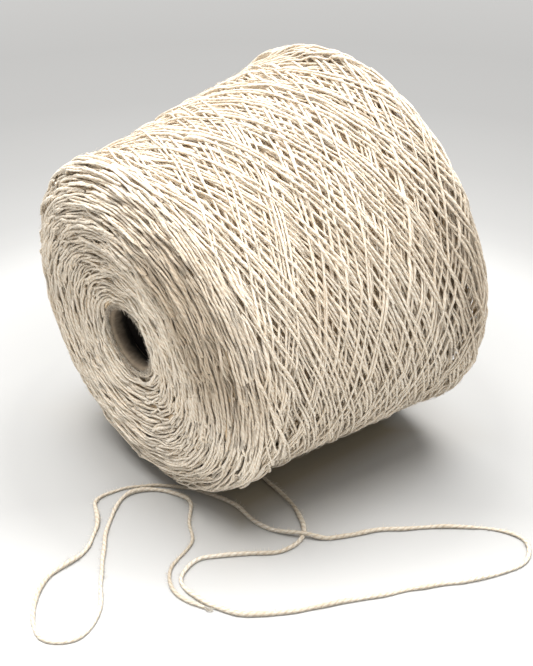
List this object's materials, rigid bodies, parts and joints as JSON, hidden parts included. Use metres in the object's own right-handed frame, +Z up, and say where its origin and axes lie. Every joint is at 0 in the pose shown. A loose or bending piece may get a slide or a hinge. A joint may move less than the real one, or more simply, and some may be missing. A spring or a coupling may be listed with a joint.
{
  "type": "yarn cone",
  "caption": "Cone of undyed slubby yarn, cross-wound on a tapered paper cone and lying on its side, with its loose end of yarn in loops on the surface beside it.",
  "frame": {"origin": "middle of the footprint of the cone and its winding, on the surface they lie on; the loose yarn is left out of it", "axes": "+X towards the wide end of the cone, -X towards its nose, +Z up; the cone's own axis lies in the XZ plane and rises 5.95 degrees from nose to base"},
  "size_m": [0.2728, 0.2739, 0.2028],
  "materials": {
    "paperboard": "matte",
    "dark_paper": "matte",
    "yarn": "matte"
  },
  "bodies": {
    "root": {"paper_cone": "paperboard", "bore_lining": "dark_paper", "winding": "yarn", "reserve_turns": "yarn", "loose_yarn": "yarn"}
  },
  "joints": []
}
